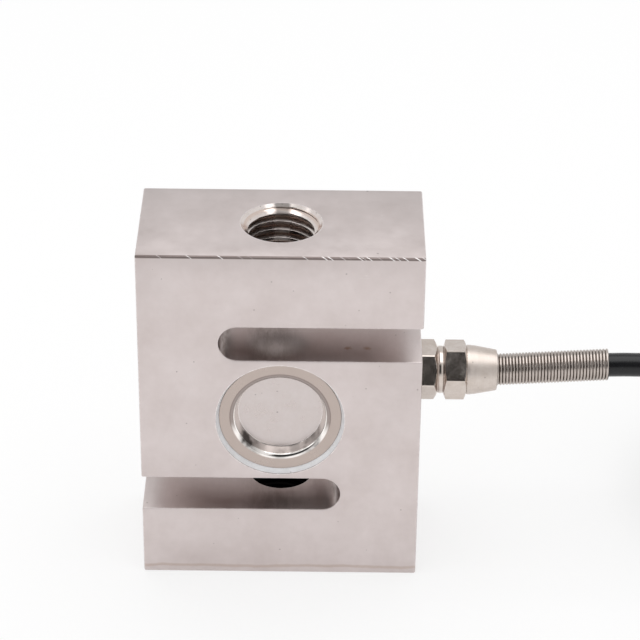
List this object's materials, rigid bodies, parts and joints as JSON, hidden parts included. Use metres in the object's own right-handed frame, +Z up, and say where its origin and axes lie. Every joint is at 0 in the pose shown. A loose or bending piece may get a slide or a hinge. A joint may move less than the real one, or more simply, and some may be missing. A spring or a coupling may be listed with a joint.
{
  "type": "s type load cell",
  "caption": "Slotted steel S beam load cell with a sealed round gauge recess, threaded load holes top and bottom, and a glanded cable with a coiled spring strain relief.",
  "frame": {"origin": "middle of the block's bottom face, where the load axis leaves it", "axes": "+Z up the load axis, out of the top load hole; +X towards the cable; +Y towards the rear cover"},
  "size_m": [0.2023, 0.0676, 0.08],
  "materials": {
    "plated_steel": "satin nickel plate over ground steel",
    "pressed_steel": "pressed stainless sheet, soft satin",
    "sealant": "cured pale sealant, slightly glossy",
    "gauge_film": "clear amber film",
    "gauge_foil": "etched metal foil",
    "board": "glass fibre board with green lacquer",
    "solder": "tinned pads",
    "resistor": "ceramic chip, dark coat",
    "fine_wire": "lacquered copper",
    "jumper_insulation": "pale insulation",
    "insulation_red": "red core insulation with tinned tips",
    "insulation_black": "black core insulation with tinned tips",
    "insulation_green": "green core insulation with tinned tips",
    "insulation_white": "white core insulation with tinned tips",
    "tinned_copper": "tinned braid strands, twisted",
    "plated_brass": "bright nickel plate on turned brass",
    "seal_rubber": "black rubber",
    "washer_steel": "plated steel",
    "spring_steel": "drawn stainless wire",
    "cable_jacket": "smooth black jacket, soft sheen",
    "strap": "black hook and loop strap"
  },
  "bodies": {
    "root": {"bridge_jumpers": "jumper_insulation", "cable_coil": "cable_jacket", "cable_run": "cable_jacket", "coil_tie": "strap", "core_black": "insulation_black", "core_green": "insulation_green", "core_red": "insulation_red", "core_white": "insulation_white", "front_cover": "pressed_steel", "front_gauge_backing": "gauge_film", "front_gauge_foil": "gauge_foil", "front_gauge_leads": "fine_wire", "front_sealant": "sealant", "front_terminal_board": "board", "front_terminal_board_pads": "solder", "gland_body": "plated_brass", "gland_grommet": "seal_rubber", "gland_nut": "plated_brass", "gland_washer": "washer_steel", "lead_black": "insulation_black", "lead_green": "insulation_green", "lead_red": "insulation_red", "lead_white": "insulation_white", "rear_cover": "pressed_steel", "rear_gauge_backing": "gauge_film", "rear_gauge_foil": "gauge_foil", "rear_gauge_leads": "fine_wire", "rear_sealant": "sealant", "s_block": "plated_steel", "screen_tail": "tinned_copper", "strain_relief_spring": "spring_steel", "trim_board": "board", "trim_board_pads": "solder", "trim_resistors": "resistor"}
  },
  "joints": []
}
